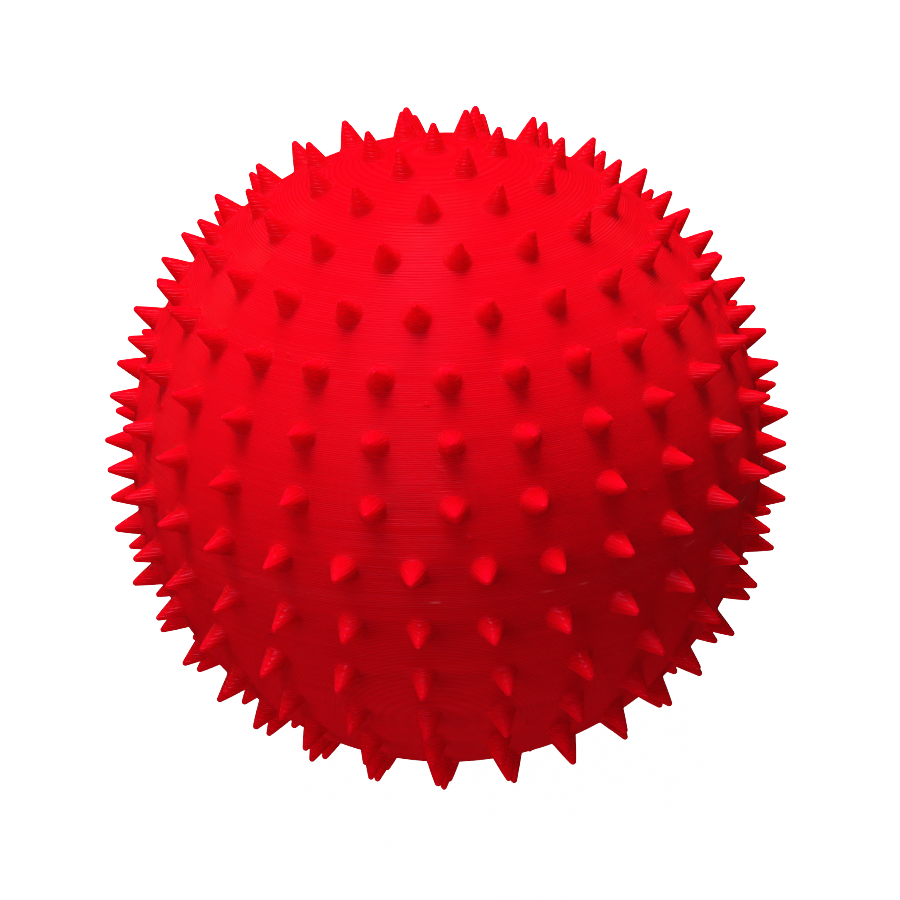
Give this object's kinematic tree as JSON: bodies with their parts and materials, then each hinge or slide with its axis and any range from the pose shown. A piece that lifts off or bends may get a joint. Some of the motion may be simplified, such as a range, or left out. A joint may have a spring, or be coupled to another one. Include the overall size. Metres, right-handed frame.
{
  "type": "spiky massage ball",
  "caption": "Hollow printed massage ball covered in short blunt cone spikes, made of two half shells that push together over a round joining ring.",
  "frame": {"origin": "centre of the ball, on the seam plane between the two half shells", "axes": "+Z through the upper pole spike, square to the seam; -Y faces the viewer of the reference view"},
  "size_m": [0.0796, 0.0796, 0.08],
  "materials": {
    "printed_red": "satin layered print, opaque red"
  },
  "bodies": {
    "lower_half": {"lower_half_shell": "printed_red"},
    "ring": {"joining_ring": "printed_red"},
    "upper_half": {"upper_half_shell": "printed_red"}
  },
  "joints": [
    {"name": "half_twist", "type": "hinge", "parent": "lower_half", "child": "ring", "pos_m": [0, 0, 0], "axis": [0, 0, 1], "continuous": true},
    {"name": "half_pull", "type": "slide", "parent": "ring", "child": "upper_half", "axis": [0, 0, 1], "range_m": [0, 0.055]}
  ]
}
